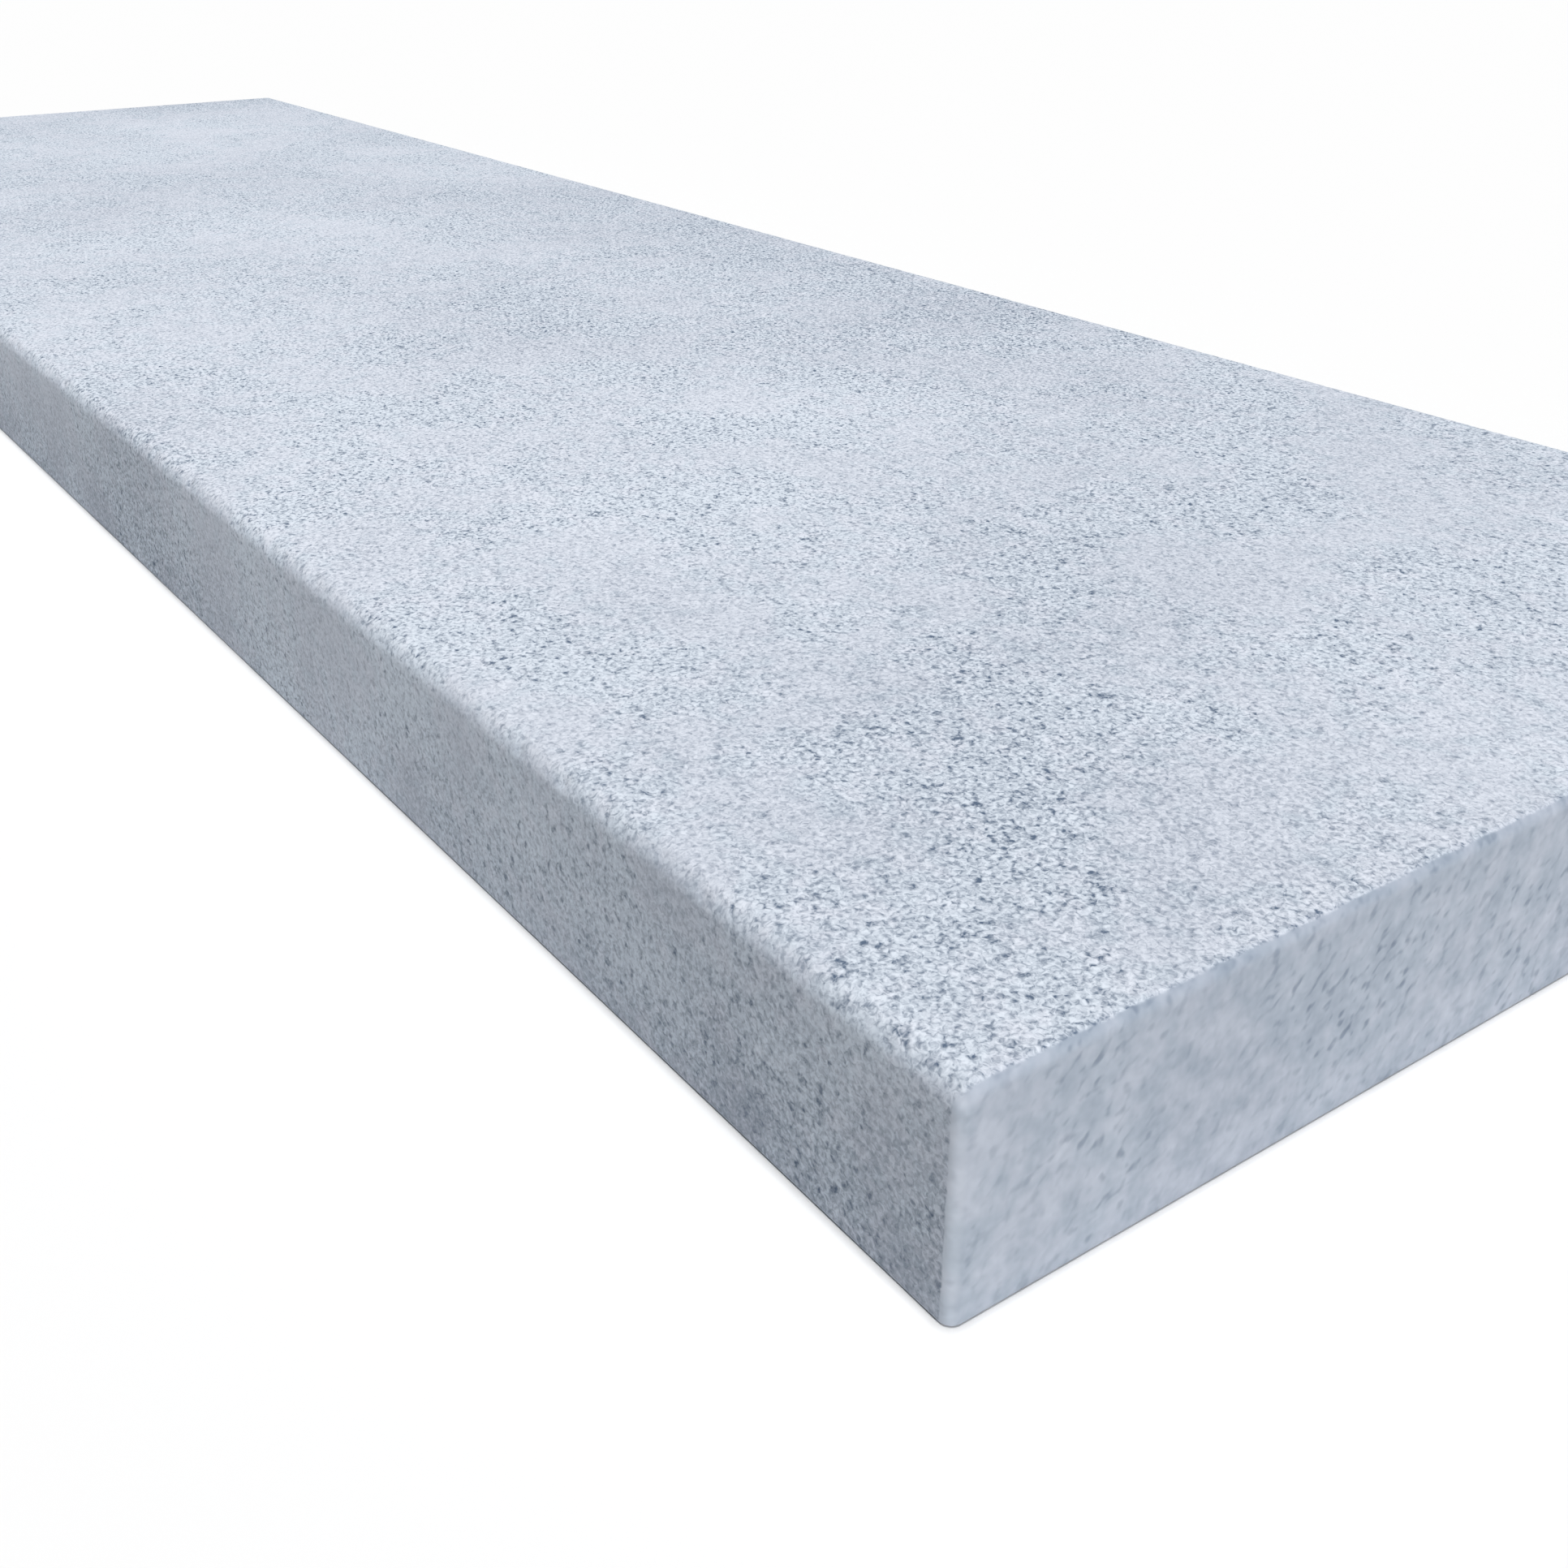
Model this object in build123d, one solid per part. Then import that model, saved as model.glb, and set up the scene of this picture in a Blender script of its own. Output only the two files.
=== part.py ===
from build123d import *
import os

# Marble coping: one slab sawn from the block and worked down to 120 x 35 x 4.7 cm, laid on its bed.
# Frame: X along the length, Y across the width, +Z up. The origin is the centre of the bed face.

# Driving dimensions, mm
LENGTH = 1200.0
WIDTH = 350.0
THICKNESS = 47.0

# The two long top arrises are worn to a soft nose, which runs through to both ends.
NOSE_RADIUS = 5.0
# The rim of each end is eased after the slab is cut to length: its top, its noses and its uprights.
END_RIM_RADIUS = 2.5
# The rim of the bed is only dulled, so that it sits close on its mortar.
BED_RIM_RADIUS = 0.5


def section():
    """The slab's cross-section, in the YZ plane: a rectangle on its bed, with both top corners rounded."""
    outline = Pos(0, THICKNESS / 2) * Rectangle(WIDTH, THICKNESS)
    top_corners = outline.vertices().group_by(Axis.Y)[-1]
    return Plane.YZ * fillet(top_corners, NOSE_RADIUS)


def cut_to_length(profile):
    """The section run out along X, the same distance each way from the middle."""
    return extrude(profile, amount=LENGTH / 2, both=True)


def end_rim(slab, side):
    """The edges round one end face, apart from the one on the bed."""
    end_face = slab.faces().sort_by(Axis.X)[side]
    return end_face.edges().filter_by(lambda edge: edge.center().Z > BED_RIM_RADIUS)


def ease_ends(slab):
    """Both ends with their rims rounded."""
    left, right = 0, -1
    return fillet(end_rim(slab, left) + end_rim(slab, right), END_RIM_RADIUS)


def dull_bed(slab):
    """The bed with its rim, one closed loop, just rounded."""
    bed = slab.faces().sort_by(Axis.Z)[0]
    return fillet(bed.edges(), BED_RIM_RADIUS)


os.makedirs("parts", exist_ok=True)
slab = dull_bed(ease_ends(cut_to_length(section())))
slab.label = "coping_slab"
export_step(slab, "parts/coping_slab.step")

box = slab.bounding_box()
print(f"coping_slab: {box.size.X:.1f} x {box.size.Y:.1f} x {box.size.Z:.1f} mm, {slab.volume / 1e6:.3f} litres")
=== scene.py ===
import math

import bpy
from bpy.props import FloatProperty, FloatVectorProperty, IntProperty, PointerProperty
from bpy.types import Operator, Panel, PropertyGroup
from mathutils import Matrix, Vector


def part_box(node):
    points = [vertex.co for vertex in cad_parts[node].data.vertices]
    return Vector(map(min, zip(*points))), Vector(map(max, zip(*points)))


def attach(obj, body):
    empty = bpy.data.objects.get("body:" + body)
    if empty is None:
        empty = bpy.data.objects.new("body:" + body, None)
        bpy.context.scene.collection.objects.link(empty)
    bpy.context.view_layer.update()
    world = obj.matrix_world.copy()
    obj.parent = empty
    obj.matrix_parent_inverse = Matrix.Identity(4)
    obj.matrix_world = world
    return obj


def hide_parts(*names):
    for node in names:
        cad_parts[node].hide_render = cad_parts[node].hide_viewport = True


bl_info = {
    "name": "Marble coping",
    "version": (1, 0, 0),
    "blender": (4, 5, 0),
    "location": "3D View > Sidebar > Coping",
    "description": "A straight marble coping slab, lying on a studio floor",
    "category": "Object",
}

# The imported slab: X along its length, Y across its width, Z up from its bed, in metres.
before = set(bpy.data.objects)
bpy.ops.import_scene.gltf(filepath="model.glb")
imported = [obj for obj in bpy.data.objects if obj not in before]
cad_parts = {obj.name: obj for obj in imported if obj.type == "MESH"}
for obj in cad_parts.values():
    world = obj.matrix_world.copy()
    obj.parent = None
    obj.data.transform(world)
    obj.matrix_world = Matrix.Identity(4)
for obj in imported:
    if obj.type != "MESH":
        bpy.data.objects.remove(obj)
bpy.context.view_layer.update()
SLAB_LOW, SLAB_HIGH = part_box("coping_slab")
SLAB_SIZE = SLAB_HIGH - SLAB_LOW
MM = 0.001


class Field:
    """A socket's value in a node tree. Arithmetic on it adds Math or Vector Math nodes."""

    def __init__(self, graph, socket):
        self.graph = graph
        self.socket = socket

    def maths(self, operation, *others):
        """This value, then the others, through one Math or Vector Math node."""
        return self.graph.maths(operation, self, *others)

    def __add__(self, other):
        return self.maths("ADD", other)

    __radd__ = __add__

    def __sub__(self, other):
        return self.maths("SUBTRACT", other)

    def __rsub__(self, other):
        return self.graph.maths("SUBTRACT", other, self)

    def __mul__(self, other):
        if self.socket.type != "VECTOR":
            return self.maths("MULTIPLY", other)
        scaled = {0: self, "Scale": other}
        return self.graph.node("ShaderNodeVectorMath", {"operation": "SCALE"}, scaled)

    __rmul__ = __mul__

    def __truediv__(self, other):
        return self.maths("DIVIDE", other)

    def __rtruediv__(self, other):
        return self.graph.maths("DIVIDE", other, self)

    def __neg__(self):
        return self * -1.0

    def __abs__(self):
        return self.maths("ABSOLUTE")

    def __pow__(self, other):
        return self.maths("POWER", other)

    def __gt__(self, other):
        return self.maths("GREATER_THAN", other)

    def axis(self, number):
        return self.graph.node("ShaderNodeSeparateXYZ", {}, {0: self}, output=number)


class Graph:
    """A node tree that is written as expressions."""

    def __init__(self, tree):
        self.tree = tree

    def node(self, kind, settings=None, inputs=None, output=0):
        """Adds a node, applies its settings, then fills its sockets with values or links."""
        node = self.tree.nodes.new(kind)
        for name, value in (settings or {}).items():
            setattr(node, name, value)
        for key, value in (inputs or {}).items():
            self.fill(self.find(node.inputs, key), value)
        return Field(self, self.find(node.outputs, output))

    def find(self, sockets, key):
        """The socket with that number or name. A node's hidden twins share its names."""
        if isinstance(key, int):
            return sockets[key]
        return next(s for s in sockets if s.name == key and not s.is_unavailable)

    def fill(self, socket, value):
        if isinstance(value, list):
            for each in value:
                self.tree.links.new(each.socket, socket)
        elif isinstance(value, Field):
            self.tree.links.new(value.socket, socket)
        else:
            socket.default_value = value

    def maths(self, operation, *values):
        """A Math node, or a Vector Math node where a value is a vector."""
        fields = [value for value in values if isinstance(value, Field)]
        has_vector = any(field.socket.type == "VECTOR" for field in fields)
        kind = "ShaderNodeVectorMath" if has_vector else "ShaderNodeMath"
        return self.node(kind, {"operation": operation}, dict(enumerate(values)))

    def measure(self, operation, first, second):
        """A Vector Math node that gives a number."""
        return self.node("ShaderNodeVectorMath", {"operation": operation}, {0: first, 1: second}, "Value")

    def number(self, value):
        """A plain number as a field, for a function that takes fields."""
        return self.maths("ADD", value, 0.0)

    def vector(self, x, y, z):
        return self.node("ShaderNodeCombineXYZ", {}, {0: x, 1: y, 2: z})

    def least(self, value, other):
        return value.maths("MINIMUM", other)

    def most(self, value, other):
        return value.maths("MAXIMUM", other)

    def clamped(self, value):
        return self.least(self.most(value, 0.0), 1.0)

    def ramp(self, value, low, high, start=0.0, end=1.0):
        """A smooth step from start to end, as the value goes from low to high."""
        inputs = {"Value": value, "From Min": low, "From Max": high, "To Min": start, "To Max": end}
        return self.node("ShaderNodeMapRange", {"interpolation_type": "SMOOTHSTEP"}, inputs)

    def noise(self, place, size, detail=2.0, roughness=0.5, distortion=0.0):
        """Noise in 0 to 1 whose blotches are about that size."""
        inputs = {
            "Vector": place,
            "Scale": 1.0 / size,
            "Detail": detail,
            "Roughness": roughness,
            "Distortion": distortion,
        }
        return self.node("ShaderNodeTexNoise", {}, inputs)

    def mix(self, factor, first, second, kind="FLOAT"):
        inputs = {"Factor": factor, "A": first, "B": second}
        return self.node("ShaderNodeMix", {"data_type": kind}, inputs, output="Result")


# Sizes and colours that a user would change.


class SlabSizes(PropertyGroup):
    length: FloatProperty(
        name="Length", description="Along the run of the wall", default=SLAB_SIZE.x, unit="LENGTH"
    )
    width: FloatProperty(
        name="Width", description="Across the wall", default=SLAB_SIZE.y, unit="LENGTH"
    )
    thickness: FloatProperty(
        name="Thickness", description="From the bed to the top", default=SLAB_SIZE.z, unit="LENGTH"
    )
    nose: FloatProperty(
        name="Nose", description="Radius of the two long top arrises", default=5.0 * MM, unit="LENGTH"
    )
    end_rim: FloatProperty(
        name="End rim",
        description="Radius round each end's top and uprights",
        default=2.5 * MM,
        unit="LENGTH",
    )
    bed_rim: FloatProperty(
        name="Bed rim", description="Radius round the bed", default=0.5 * MM, unit="LENGTH"
    )
    chip_depth: FloatProperty(
        name="Chip depth",
        description="Deepest nick in the long top arrises",
        default=0.6 * MM,
        unit="LENGTH",
    )
    waver: FloatProperty(
        name="Waver",
        description="How far the worked faces rise and fall",
        default=0.15 * MM,
        unit="LENGTH",
    )
    seed: IntProperty(name="Seed", description="Picks another set of nicks", default=3)


class StoneColours(PropertyGroup):
    pale: FloatVectorProperty(
        name="Pale",
        description="The stone's ground",
        default=(0.70, 0.762, 0.842),
        subtype="COLOR",
        size=3,
    )
    lilac: FloatVectorProperty(
        name="Lilac",
        description="The ground's warmer patches",
        default=(0.722, 0.762, 0.842),
        subtype="COLOR",
        size=3,
    )
    dark: FloatVectorProperty(
        name="Dark",
        description="The heart of a speck",
        default=(0.097, 0.138, 0.209),
        subtype="COLOR",
        size=3,
    )


class StudioSettings(PropertyGroup):
    overhead: FloatProperty(
        name="Overhead", description="Strength of the soft light above", default=2.89
    )
    side_key: FloatProperty(
        name="Side key", description="Strength of the soft light on the right", default=1.56
    )
    surround: FloatProperty(
        name="Surround", description="Brightness of the room", default=0.02
    )
    floor: FloatVectorProperty(
        name="Floor",
        description="The floor's colour",
        default=(0.86, 0.86, 0.86),
        subtype="COLOR",
        size=3,
    )


# The slab.


# How many steps each rounding takes.
NOSE_STEPS = 10
RIM_STEPS = 8
BED_STEPS = 3
# The mesh's spacing along the slab, and round its section on the top, the sides and the bed.
STATION_SPACING = 1.1 * MM
TOP_SPACING = 14.0 * MM
SIDE_SPACING = 8.0 * MM
BED_SPACING = 40.0 * MM
# Points closer than this are merged where the ends meet the swept skin.
SEAM = 0.01 * MM
# More than rounding can leave of a zero.
TINY = 0.001
# Sizes of the nicks and wobbles in the noses, and of the swells in the worked faces, in mm.
NICK_SIZE = 4.5
WOBBLE_SIZE = 14.0
SWELL_SIZE = 60.0
# What each station along the slab and each point of the section carries while the slab is made.
STATION_VALUES = ("along", "turn", "lift")
SECTION_VALUES = ("section", "outward")
SLAB_INPUTS = {
    "Length": "length",
    "Width": "width",
    "Thickness": "thickness",
    "Nose": "nose",
    "End Rim": "end_rim",
    "Bed Rim": "bed_rim",
    "Chip Depth": "chip_depth",
    "Waver": "waver",
}


def store(g, geometry, name, field, kind):
    settings = {"data_type": kind, "domain": "POINT"}
    inputs = {"Geometry": geometry, "Name": name, "Value": field}
    return g.node("GeometryNodeStoreNamedAttribute", settings, inputs)


def recall(g, name, kind):
    settings = {"data_type": kind}
    return g.node("GeometryNodeInputNamedAttribute", settings, {"Name": name}, output="Attribute")


def moved(g, geometry, place):
    return g.node("GeometryNodeSetPosition", {}, {"Geometry": geometry, "Position": place})


def section_curve(g, given):
    """The rounded cross-section as a closed curve. Its X is the slab's Y, and its Y the slab's Z."""
    size = {"Width": given["Width"], "Height": given["Thickness"]}
    square = g.node("GeometryNodeCurvePrimitiveQuadrilateral", {}, size)
    place = g.node("GeometryNodeInputPosition")
    above = place.axis(1) > 0.0
    radius = g.mix(above, given["Bed Rim"], given["Nose"])
    steps = g.mix(above, float(BED_STEPS), float(NOSE_STEPS))
    corners = {"Curve": square, "Radius": radius, "Count": steps}
    rounded = g.node("GeometryNodeFilletCurve", {"mode": "POLY"}, corners)

    # The outward direction is worked out first, from the centre that each corner is rounded about.
    reach = g.vector(given["Width"] * 0.5 - radius, given["Thickness"] * 0.5 - radius, 0.0)
    inside = g.least(g.most(place, -reach), reach)
    outward = (place - inside).maths("NORMALIZE")
    kept = store(g, rounded, "outward", outward, "FLOAT_VECTOR")

    # Then the straight runs are cut up. A run's mean height is 1 on the top, -1 on the bed.
    counting = {"component": "CURVE"}
    count = g.node("GeometryNodeAttributeDomainSize", counting, {"Geometry": kept}, "Point Count")
    following = (g.node("GeometryNodeInputIndex") + 1.0).maths("MODULO", count)
    at_next = {"data_type": "FLOAT_VECTOR", "domain": "POINT"}
    after = g.node("GeometryNodeFieldAtIndex", at_next, {"Index": following, "Value": place})
    run = g.measure("DISTANCE", place, after)
    height = (place.axis(1) + after.axis(1)) / given["Thickness"]
    below_top = g.mix(height > -0.9, BED_SPACING, SIDE_SPACING)
    spacing = g.mix(height > 0.9, below_top, TOP_SPACING)
    cuts = (run / spacing).maths("FLOOR")
    cut = g.node("GeometryNodeSubdivideCurve", {}, {"Curve": kept, "Cuts": cuts})
    return store(g, cut, "section", place, "FLOAT_VECTOR")


def path_curve(g, stations):
    """A line along the slab, with the stations that wrap its ends.

    "along" runs from -1 to 1 over the straight part, "turn" is the angle that the upright rim has
    turned through, and "lift" the angle of the bed's rim, which follows once the upright is round."""
    ends = {"Start": (-1.0, 0.0, 0.0), "End": (1.0, 0.0, 0.0)}
    line = g.node("GeometryNodeCurvePrimitiveLine", {}, ends)
    kept = g.node("GeometryNodeResampleCurve", {}, {"Curve": line, "Count": stations})
    middle = (stations - 1) / 2
    straight = middle - RIM_STEPS - BED_STEPS
    off = g.node("GeometryNodeInputIndex") - middle
    side = off.maths("SIGN")
    past = abs(off) - straight
    values = {
        "along": side * g.clamped(abs(off) / straight),
        "turn": side * g.clamped(past / RIM_STEPS) * (math.pi / 2),
        "lift": g.clamped((past - RIM_STEPS) / BED_STEPS) * (math.pi / 2),
    }
    for name in STATION_VALUES:
        kept = store(g, kept, name, values[name], "FLOAT")
    return kept


def eased_place(g, given, section, outward, along, turn, lift):
    """Where a point of the section goes at a station: rounded over the top, round the uprights and
    then under the end, so that the three roundings meet."""
    half_length = given["Length"] * 0.5
    half_width = given["Width"] * 0.5
    half_thickness = given["Thickness"] * 0.5
    rim, bed = given["End Rim"], given["Bed Rim"]
    side = along.maths("SIGN")
    sine, cosine = abs(turn.maths("SINE")), turn.maths("COSINE")
    to_rim = abs(along) * (half_length - rim)

    # On the top and the noses the rim draws the section in square to its own surface.
    drawn_in = section - outward * (rim * (1.0 - cosine))
    top = g.vector(
        side * (to_rim + rim * sine), drawn_in.axis(0), drawn_in.axis(1) + half_thickness
    )
    # Lower down the plan's corner is rounded first, and the bed's rim then runs round that.
    under = bed * (1.0 - abs(outward.axis(0)))
    edge = half_width - under
    narrowed = section.axis(0) * (half_width - rim + (rim - under) * cosine) / edge
    raised = g.most(section.axis(1) + half_thickness, bed * (1.0 - lift.maths("COSINE")))
    gap = bed - g.least(raised, bed)
    round_under = (bed * bed - gap * gap) ** 0.5 - bed
    reach = g.mix(lift > TINY, (rim - under) * sine - rim, round_under)
    low = g.vector(side * (to_rim + rim + reach), narrowed, raised)
    return g.mix(outward.axis(1) > TINY, low, top, "VECTOR")


def eased_skin(g, bar, given):
    """The swept bar, rounded in at both ends, with its worked faces and nicked noses."""
    section, outward = (recall(g, name, "FLOAT_VECTOR") for name in SECTION_VALUES)
    along, turn, lift = (recall(g, name, "FLOAT") for name in STATION_VALUES)
    place = eased_place(g, given, section, outward, along, turn, lift)
    sine, cosine = turn.maths("SINE"), turn.maths("COSINE")
    facing = g.vector(sine, outward.axis(0) * cosine, outward.axis(1) * cosine)

    # The nicks sit on the noses and die out before the ends and the bed.
    spot = (place + g.vector(given["Seed"], 0.0, 0.0)) * (1.0 / MM)
    worked = g.ramp(abs(turn), 0.0, 0.9, 1.0, 0.0) * g.ramp(outward.axis(1), -0.4, -0.1)
    on_nose = abs(outward.axis(0)) * g.ramp(outward.axis(1), 0.02, 0.5)
    nicks = g.ramp(g.noise(spot, NICK_SIZE, 1.5), 0.58, 0.74) * given["Chip Depth"]
    wobble = (g.noise(spot, WOBBLE_SIZE) - 0.5) * given["Chip Depth"]
    swell = (g.noise(spot, SWELL_SIZE) - 0.5) * given["Waver"]
    depth = (nicks + wobble) * on_nose + swell
    return moved(g, bar, place - facing * (depth * worked))


def end_cap(g, section, given, side):
    """The flat sawn face inside one end's rim. The side is 1 for the right end, -1 for the left."""
    here = g.node("GeometryNodeInputPosition")
    outward = recall(g, "outward", "FLOAT_VECTOR")
    along, quarter = g.number(float(side)), g.number(side * math.pi / 2)
    rim = eased_place(g, given, here, outward, along, quarter, abs(quarter))
    smaller = moved(g, section, g.vector(rim.axis(1), rim.axis(2), 0.0))
    face = g.node("GeometryNodeFillCurve", {"mode": "NGONS"}, {"Curve": smaller})
    stood = moved(g, face, g.vector(given["Length"] * (side * 0.5), here.axis(0), here.axis(1)))
    if side > 0:
        return stood
    return g.node("GeometryNodeFlipFaces", {}, {"Mesh": stood})


def slab_tree(stations):
    """Sweeps the slab's section along its length, eases both ends and works the surface."""
    tree = bpy.data.node_groups.new("coping slab", "GeometryNodeTree")
    for name in SLAB_INPUTS:
        tree.interface.new_socket(name, in_out="INPUT", socket_type="NodeSocketFloat")
    tree.interface.new_socket("Seed", in_out="INPUT", socket_type="NodeSocketInt")
    tree.interface.new_socket("Material", in_out="INPUT", socket_type="NodeSocketMaterial")
    tree.interface.new_socket("Slab", in_out="OUTPUT", socket_type="NodeSocketGeometry")
    g = Graph(tree)
    group = tree.nodes.new("NodeGroupInput")
    given = {socket.name: Field(g, socket) for socket in group.outputs if socket.name}

    section = section_curve(g, given)
    path = path_curve(g, stations)
    bar = g.node("GeometryNodeCurveToMesh", {}, {"Curve": path, "Profile Curve": section})
    shells = [eased_skin(g, bar, given), end_cap(g, section, given, 1), end_cap(g, section, given, -1)]
    joined = g.node("GeometryNodeJoinGeometry", {}, {"Geometry": shells})
    closed = g.node("GeometryNodeMergeByDistance", {}, {"Geometry": joined, "Distance": SEAM})
    shown = g.node("GeometryNodeSetShadeSmooth", {}, {"Geometry": closed})
    for name in SECTION_VALUES + STATION_VALUES:
        shown = g.node("GeometryNodeRemoveAttribute", {}, {"Geometry": shown, "Name": name})
    real = g.node("GeometryNodeRealizeInstances", {}, {"Geometry": shown})
    done = g.node("GeometryNodeSetMaterial", {}, {"Geometry": real, "Material": given["Material"]})
    result = tree.nodes.new("NodeGroupOutput")
    tree.links.new(done.socket, result.inputs["Slab"])
    return tree


# Sizes of the stone's patterns, in mm, from the finest to the broadest.
GRAIN_SIZE = 1.12
BLOT_SIZE = 2.2
FLECK_SIZE = 2.4
MOTTLE_SIZE = 6.5
CLUSTER_SIZE = 42.0
CLOUD_SIZE = 200.0
# The share taken off lengths along the slant of the sawn faces' flecks, which draws them out.
FLECK_STRETCH = 0.3
# What the ground's colour is multiplied by on the long sides, where the cooler colour is painted shade,
# and two fifths of the way where it is sawn. Both are cooler than the top.
SHADE_AND_SAWN_TINT = (0.984, 1.0, 1.016)
WORKED_ROUGHNESS = 0.8
SAWN_ROUGHNESS = 0.55
GRAIN_RELIEF = 0.15 * MM


class Stone:
    """The stone's patterns, and how dark they make it on the slab's faces. Lengths are in mm."""

    def __init__(self, g, sizes):
        place = g.node("ShaderNodeTexCoord", output="Object") * (1.0 / MM)
        self.g = g
        self.along, self.across, self.height = (place.axis(number) for number in range(3))
        self.half_length = sizes.length / MM / 2
        self.half_width = sizes.width / MM / 2
        self.top = sizes.thickness / MM

        # The blots, clusters and clouds are shifted, so that they don't line up with the rest.
        slant = g.measure("DOT_PRODUCT", place, (0.0, 0.5, 0.5))
        drawn_out = place - g.vector(0.0, slant, slant) * FLECK_STRETCH
        self.grain = g.noise(place, GRAIN_SIZE, 2.0, 0.6, 0.7)
        self.blot = g.noise(place + (7.0, 3.0, 5.0), BLOT_SIZE, 1.0)
        self.fleck = g.noise(drawn_out, FLECK_SIZE, 1.0)
        self.mottle = g.noise(place, MOTTLE_SIZE, 2.0, 0.6)
        self.cluster = g.noise(place + (40.0, 10.0, 0.0), CLUSTER_SIZE)
        self.cloud = g.noise(place + (1850.0, 3870.0, 880.0), CLOUD_SIZE, 3.0)

        # Dark specks gather in clusters, and are a little fainter on the long sides.
        self.on_side = g.ramp(abs(self.across), self.half_width - 2.0, self.half_width - 0.3)
        self.gathered = g.ramp(self.cluster, 0.38, 0.60)
        dots = g.ramp(self.blot, 0.46, 0.27)
        self.specks = dots * (0.18 + 0.28 * self.gathered) * (1.0 - 0.2 * self.on_side)
        # How far from the nearer end, with an edge that wanders.
        self.from_end = self.half_length - abs(self.along) + (self.mottle - 0.5) * 0.9

    def worked(self):
        """1 on the worked faces and 0 where the stone is sawn. The sawn finish takes in each end's
        rim, less of it on the top than on the uprights, and the bed's."""
        margin = self.g.ramp(self.height, self.top - 4.0, self.top - 0.5, 2.4, 1.3)
        within_ends = self.g.ramp(self.from_end - margin, -0.3, 0.3)
        return within_ends * self.g.ramp(self.height, 0.2, 0.7)

    def worked_darkness(self):
        """A light and dark network, fainter near the right end, with dark specks. The top drifts a little
        darker towards that end and its back. The long sides are calmer and more clouded, and are painted
        darker towards the bed, a painted shade."""
        g, on_side = self.g, self.on_side
        contrast = g.ramp(self.along, self.half_length - 330.0, self.half_length - 130.0, 1.56, 1.0)
        strength = 1.6 + 0.95 * self.gathered
        network = (0.5 - self.grain) * strength * contrast * (1.0 - 0.32 * on_side)
        coarse = self.specks + (0.5 - self.mottle) * (0.35 - 0.15 * on_side)
        clouded = (0.5 - self.cloud) * (0.68 + 0.32 * on_side)
        broad = clouded + (0.5 - self.cluster) * (0.1 + 0.45 * on_side)
        towards_end = self.along * (0.018 / self.half_length)
        towards_back = g.ramp(self.across, 0.3 * self.half_width, self.half_width, 0.0, 0.03)
        # Painted shade: the long sides are darker towards the bed.
        painted_shade_towards_bed = g.ramp(self.height, 0.0, self.top, 0.22, 0.01)
        # On the long sides the drift is that painted shade.
        drift = g.mix(on_side, towards_end + towards_back, painted_shade_towards_bed)
        speckled = 0.185 + network + coarse + broad + drift
        # The palest spots are held back, and the last millimetres of the top before an end are painted
        # darker, a painted shade.
        held_back = g.most(0.22 - speckled, 0.0) * 0.4
        return speckled + held_back + g.ramp(self.from_end, 1.3, 3.6, 0.12, 0.0)

    def sawn_darkness(self):
        """Darker than the worked top, with soft mottling and faint, slanting specks that crowd in places.
        Down the uprights the rim is painted lighter, a painted highlight, and along the top it is painted
        darker, a painted shade."""
        g, aside = self.g, abs(self.across)
        crowded = g.ramp(self.cluster, 0.44, 0.62)
        spots = g.ramp(self.fleck, 0.48, 0.25) * (0.10 + 0.18 * crowded)
        mottled = 0.455 + (0.5 - self.mottle) * 0.45 + (0.5 - self.blot) * 0.2
        spotted = mottled + (0.5 - self.cloud) * 0.4 + spots
        paler = g.ramp(aside, self.half_width - 24.0, self.half_width - 4.0)
        # Painted highlight: the rim down the uprights is lighter.
        painted_highlight_on_uprights = g.ramp(aside, self.half_width - 2.2, self.half_width - 0.5)
        # Painted shade: the end's rim is darker along the top.
        painted_shade_on_top_rim = g.ramp(self.height, self.top - 2.6, self.top - 0.4)
        return spotted - 0.04 * paler - 0.2 * painted_highlight_on_uprights + 0.07 * painted_shade_on_top_rim


def speckled_marble(colours, sizes):
    """Pale blue-grey marble: a fine speckle on the worked faces, calm and smooth where it is sawn."""
    material = bpy.data.materials.new("speckled marble")
    material.use_nodes = True
    g = Graph(material.node_tree)
    stone = Stone(g, sizes)
    worked = stone.worked()

    warmth = g.ramp(stone.mottle - stone.cluster, -0.15, 0.15)
    ground = g.mix(warmth, (*colours.pale, 1.0), (*colours.lilac, 1.0), "RGBA")
    # On the long sides this cooler tint is painted shade.
    shade_and_sawn_cool = g.most(stone.on_side, (1.0 - worked) * 0.4)
    tinting = {"data_type": "RGBA", "blend_type": "MULTIPLY"}
    tint = {"Factor": shade_and_sawn_cool, "A": ground, "B": (*SHADE_AND_SAWN_TINT, 1.0)}
    cooled = g.node("ShaderNodeMix", tinting, tint, "Result")
    darkness = g.clamped(g.mix(worked, stone.sawn_darkness(), stone.worked_darkness()))
    relief = (stone.grain - stone.specks) * worked
    bumps = {"Height": relief, "Distance": GRAIN_RELIEF, "Strength": 0.6}

    shader = material.node_tree.nodes["Principled BSDF"]
    g.fill(shader.inputs["Base Color"], g.mix(darkness, cooled, (*colours.dark, 1.0), "RGBA"))
    g.fill(shader.inputs["Roughness"], g.mix(worked, SAWN_ROUGHNESS, WORKED_ROUGHNESS))
    g.fill(shader.inputs["Normal"], g.node("ShaderNodeBump", {}, bumps, "Normal"))
    shader.inputs["Specular IOR Level"].default_value = 0.3
    return material


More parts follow.
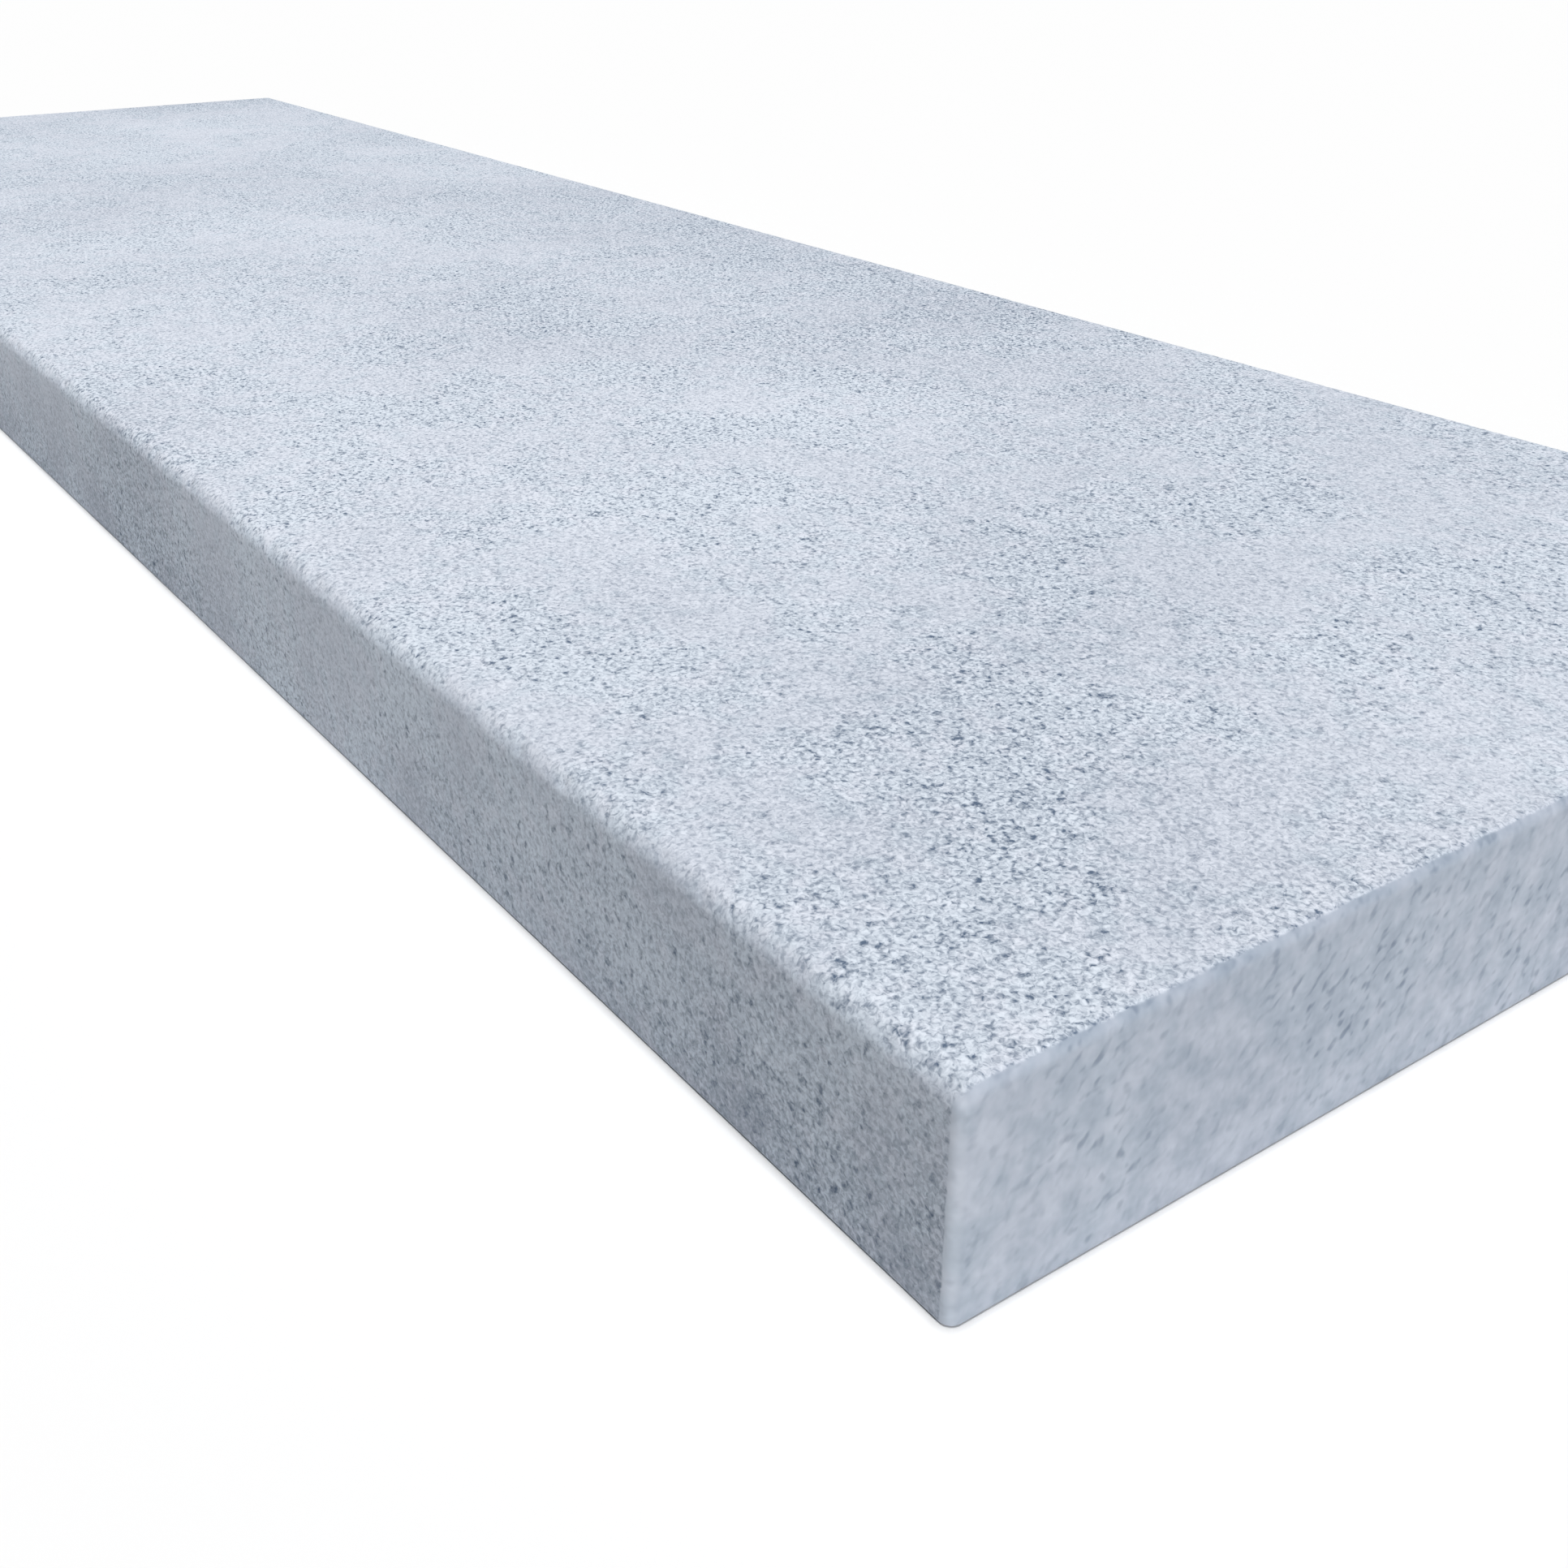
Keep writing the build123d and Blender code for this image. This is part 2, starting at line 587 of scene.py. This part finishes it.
class COPING_OT_slab(Operator):
    """Make the marble slab, with its eased arrises, nicks and speckle"""

    bl_idname = "coping.slab"
    bl_label = "Make the slab"

    def execute(self, context):
        sizes = context.scene.coping_sizes
        material = speckled_marble(context.scene.coping_colours, sizes)
        empty = bpy.data.meshes.new("slab_blank")
        blank = bpy.data.objects.new("slab_blank", empty)
        context.collection.objects.link(blank)
        stations = 2 * round(sizes.length / STATION_SPACING / 2) + 1
        tree = slab_tree(stations)
        modifier = blank.modifiers.new("slab", "NODES")
        modifier.node_group = tree
        sockets = {s.name: s.identifier for s in tree.interface.items_tree if s.in_out == "INPUT"}
        for name, setting in SLAB_INPUTS.items():
            modifier[sockets[name]] = getattr(sizes, setting)
        modifier[sockets["Seed"]] = sizes.seed
        modifier[sockets["Material"]] = material
        depsgraph = context.evaluated_depsgraph_get()
        mesh = bpy.data.meshes.new_from_object(blank.evaluated_get(depsgraph))
        mesh.name = "marble_slab"
        if not mesh.polygons:
            raise RuntimeError("the slab came out empty")
        bpy.data.objects.remove(blank)
        bpy.data.meshes.remove(empty)
        slab = bpy.data.objects.new("marble_slab", mesh)
        context.collection.objects.link(slab)
        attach(slab, "root")
        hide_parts("coping_slab")
        return {"FINISHED"}


# The studio.


# The camera that took the photograph: its lens and the width of its picture in mm, its place in metres.
CAMERA_LENS = 38.957
CAMERA_FILM = 36.0
CAMERA_PLACE = (0.741855, -0.307832, 0.202325)
CAMERA_DOWN = math.radians(28.497)
CAMERA_AZIMUTH = math.radians(54.499)
# How widely each light's rays spread, and how far the side key leans from upright to the right.
OVERHEAD_SPREAD = math.radians(6.0)
SIDE_KEY_SPREAD = math.radians(22.0)
SIDE_KEY_LEAN = math.radians(65.0)


def sun(name, strength, spread, lean):
    """A soft, even light. With no lean it shines straight down."""
    data = bpy.data.lights.new(name, "SUN")
    data.energy = strength
    data.angle = spread
    lamp = bpy.data.objects.new(name, data)
    lamp.rotation_euler = (0.0, lean, 0.0)
    bpy.context.collection.objects.link(lamp)


def pale_floor(colour):
    """A plain floor just under the slab, wide enough to fill every view."""
    mesh = bpy.data.meshes.new("floor")
    half = 15.0
    level = -0.1 * MM
    corners = [(-half, -half, level), (half, -half, level), (half, half, level), (-half, half, level)]
    mesh.from_pydata(corners, [], [(0, 1, 2, 3)])
    floor = bpy.data.objects.new("floor", mesh)
    bpy.context.collection.objects.link(floor)
    material = bpy.data.materials.new("pale floor")
    material.use_nodes = True
    shader = material.node_tree.nodes["Principled BSDF"]
    shader.inputs["Base Color"].default_value = (*colour, 1.0)
    shader.inputs["Roughness"].default_value = 0.9
    shader.inputs["Specular IOR Level"].default_value = 0.0
    mesh.materials.append(material)


def dim_room(surround):
    """A dim room, so that the slab's sides stay dark. What is seen of it past the floor is white."""
    world = bpy.data.worlds.new("room")
    world.use_nodes = True
    g = Graph(world.node_tree)
    background = world.node_tree.nodes["Background"]
    background.inputs["Color"].default_value = (1.0, 1.0, 1.0, 1.0)
    seen = g.node("ShaderNodeLightPath", output="Is Camera Ray")
    g.fill(background.inputs["Strength"], g.mix(seen, surround, 1.0))
    bpy.context.scene.world = world


def photo_camera():
    """The camera, where the photograph was taken from."""
    lens = bpy.data.cameras.new("camera")
    lens.lens = CAMERA_LENS
    lens.sensor_width = CAMERA_FILM
    lens.clip_start = 0.01
    camera = bpy.data.objects.new("camera", lens)
    camera.location = CAMERA_PLACE
    camera.rotation_euler = (math.pi / 2 - CAMERA_DOWN, 0.0, CAMERA_AZIMUTH)
    bpy.context.collection.objects.link(camera)
    bpy.context.scene.camera = camera


class COPING_OT_studio(Operator):
    """Set up the floor, the lights and the camera"""

    bl_idname = "coping.studio"
    bl_label = "Make the studio"

    def execute(self, context):
        settings = context.scene.coping_studio
        pale_floor(settings.floor)
        sun("overhead", settings.overhead, OVERHEAD_SPREAD, 0.0)
        sun("side key", settings.side_key, SIDE_KEY_SPREAD, SIDE_KEY_LEAN)
        dim_room(settings.surround)
        photo_camera()
        context.scene.view_settings.view_transform = "Standard"
        return {"FINISHED"}


class COPING_PT_panel(Panel):
    bl_label = "Marble coping"
    bl_idname = "COPING_PT_panel"
    bl_space_type = "VIEW_3D"
    bl_region_type = "UI"
    bl_category = "Coping"

    def draw(self, context):
        groups = (
            ("coping_sizes", SlabSizes, "coping.slab"),
            ("coping_colours", StoneColours, None),
            ("coping_studio", StudioSettings, "coping.studio"),
        )
        for name, group, button in groups:
            box = self.layout.box()
            settings = getattr(context.scene, name)
            for setting in group.__annotations__:
                box.prop(settings, setting)
            if button:
                box.operator(button)


CLASSES = (SlabSizes, StoneColours, StudioSettings, COPING_OT_slab, COPING_OT_studio, COPING_PT_panel)


def register():
    for each in CLASSES:
        bpy.utils.register_class(each)
    bpy.types.Scene.coping_sizes = PointerProperty(type=SlabSizes)
    bpy.types.Scene.coping_colours = PointerProperty(type=StoneColours)
    bpy.types.Scene.coping_studio = PointerProperty(type=StudioSettings)


def unregister():
    del bpy.types.Scene.coping_studio
    del bpy.types.Scene.coping_colours
    del bpy.types.Scene.coping_sizes
    for each in reversed(CLASSES):
        bpy.utils.unregister_class(each)


def main():
    register()
    bpy.ops.coping.slab()
    bpy.ops.coping.studio()


if __name__ == "__main__":
    main()
